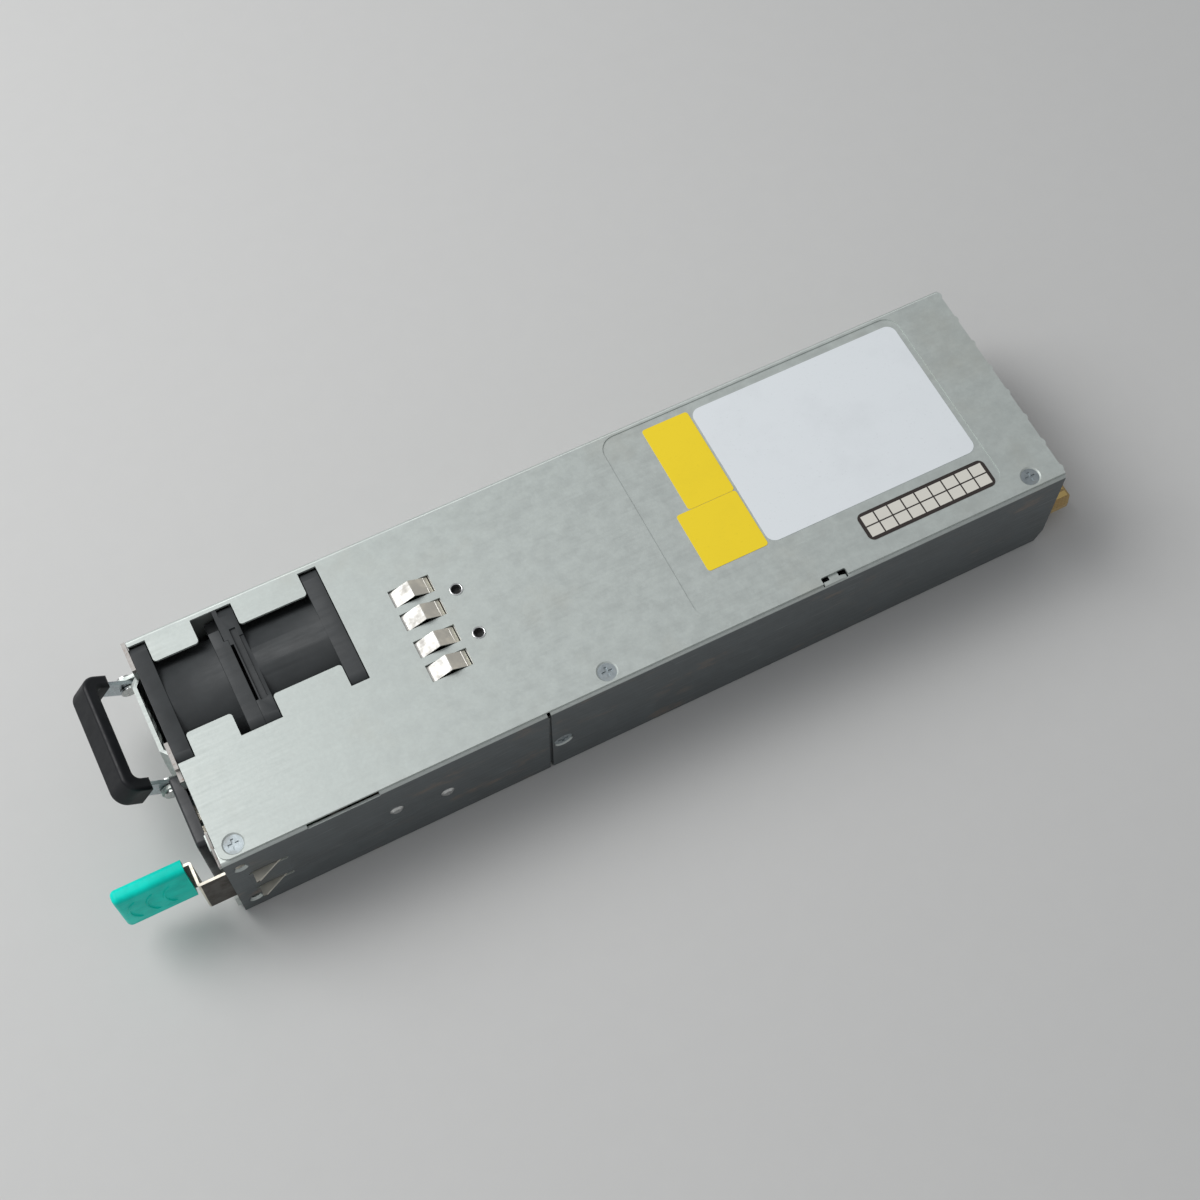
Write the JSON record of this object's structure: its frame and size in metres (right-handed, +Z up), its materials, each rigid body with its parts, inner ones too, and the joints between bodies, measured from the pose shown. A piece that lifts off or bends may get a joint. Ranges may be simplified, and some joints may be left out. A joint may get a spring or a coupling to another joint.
{
  "type": "hot swap server power supply",
  "caption": "Long flat sheet metal hot swap power supply with fans in line, carry handle, mains inlet, sprung release latch and rear card edge.",
  "frame": {"origin": "centre of the casing's bottom face", "axes": "+X along the casing towards the card edge, +Y away from the latch side, +Z up"},
  "size_m": [0.3092, 0.0764, 0.0419],
  "materials": {
    "zinc_cover": "zinc coated sheet steel, fine grain",
    "zinc_base": "zinc coated sheet steel, fine grain",
    "zinc_panel": "zinc coated sheet steel, bare cut edges",
    "screw_steel": "bright zinc plate",
    "spring_steel": "rolled spring steel",
    "rivet_steel": "plated rivet",
    "teal_plastic": "satin moulded plastic",
    "strap_steel": "zinc plated strap",
    "grip_plastic": "soft black moulding",
    "fan_plastic": "glass filled black plastic",
    "rotor_plastic": "black moulded plastic",
    "inlet_plastic": "black moulded plastic",
    "pin_brass": "nickel plated brass",
    "lead_black": "insulated lead",
    "lead_green": "insulated earth lead",
    "leaf_steel": "bright nickel plate",
    "led_lens": "clear lens",
    "white_label": "satin film",
    "yellow_label": "satin film",
    "inspection_paper": "paper with a dark border",
    "insulator_film": "clear film",
    "board_laminate": "yellow laminate",
    "gold_contact": "gold plate",
    "fuse_body": "ceramic tube with plated caps",
    "choke_winding": "enamelled copper wire",
    "capacitor_yellow": "moulded box",
    "relay_case": "moulded case",
    "package_black": "moulded package",
    "capacitor_sleeve": "shrink sleeve",
    "sink_aluminium": "extruded aluminium",
    "ferrite": "sintered ferrite",
    "winding_tape": "polyester tape",
    "can_aluminium": "aluminium can",
    "busbar_copper": "copper bar",
    "shaft_steel": "ground steel"
  },
  "bodies": {
    "casing": {"top_cover": "zinc_cover", "base_front": "zinc_base", "base_rear": "zinc_base", "front_panel": "zinc_panel", "rear_panel": "zinc_panel", "cover_screws": "screw_steel", "side_screw": "screw_steel", "board_screws": "screw_steel", "latch_strip_root": "spring_steel", "latch_rivets": "rivet_steel", "handle_pins": "rivet_steel", "front_fan_frame": "fan_plastic", "rear_fan_frame": "fan_plastic", "ac_inlet_body": "inlet_plastic", "ac_inlet_pins": "pin_brass", "mains_leads": "lead_black", "earth_lead": "lead_green", "ground_spring": "leaf_steel", "ground_spring_rivets": "rivet_steel", "status_led": "led_lens", "rating_label": "white_label", "upper_yellow_label": "yellow_label", "lower_yellow_label": "yellow_label", "inspection_label": "inspection_paper", "insulator_sheet": "insulator_film", "main_board": "board_laminate", "card_edge_contacts": "gold_contact", "fuse": "fuse_body", "emi_chokes": "choke_winding", "x_capacitors": "capacitor_yellow", "inrush_relay": "relay_case", "bridge_rectifier": "package_black", "pfc_choke": "choke_winding", "bulk_capacitors": "capacitor_sleeve", "primary_heatsink": "sink_aluminium", "primary_transistors": "package_black", "resonant_choke": "ferrite", "transformer_core": "ferrite", "transformer_winding": "winding_tape", "standby_transformer": "winding_tape", "secondary_heatsink": "sink_aluminium", "secondary_transistors": "package_black", "output_capacitors": "can_aluminium", "output_busbars": "busbar_copper", "control_board": "board_laminate", "front_fan_bearings": "shaft_steel", "front_fan_stator": "choke_winding", "front_fan_circuit": "board_laminate", "rear_fan_bearings": "shaft_steel", "rear_fan_stator": "choke_winding", "rear_fan_circuit": "board_laminate"},
    "latch": {"latch_strip": "spring_steel", "release_tab": "teal_plastic"},
    "handle": {"handle_strap": "strap_steel", "handle_grip": "grip_plastic"},
    "front_rotor": {"front_fan_rotor": "rotor_plastic", "front_fan_shaft": "shaft_steel"},
    "rear_rotor": {"rear_fan_rotor": "rotor_plastic", "rear_fan_shaft": "shaft_steel"}
  },
  "joints": [
    {"name": "handle_fold", "type": "hinge", "parent": "casing", "child": "handle", "pos_m": [-0.1375, 0.0159, 0.021], "axis": [0, 1, 0], "range_deg": [-110, 34]},
    {"name": "latch_flex", "type": "hinge", "parent": "casing", "child": "latch", "pos_m": [-0.0862, -0.0355, 0.022], "axis": [0, 0, -1], "range_deg": [0, 5], "stiffness_Nm_per_rad": 2},
    {"name": "front_fan_spin", "type": "hinge", "parent": "casing", "child": "front_rotor", "pos_m": [-0.1196, 0.015, 0.02], "axis": [1, 0, 0], "continuous": true},
    {"name": "rear_fan_spin", "type": "hinge", "parent": "casing", "child": "rear_rotor", "pos_m": [-0.0913, 0.015, 0.02], "axis": [1, 0, 0], "continuous": true}
  ]
}
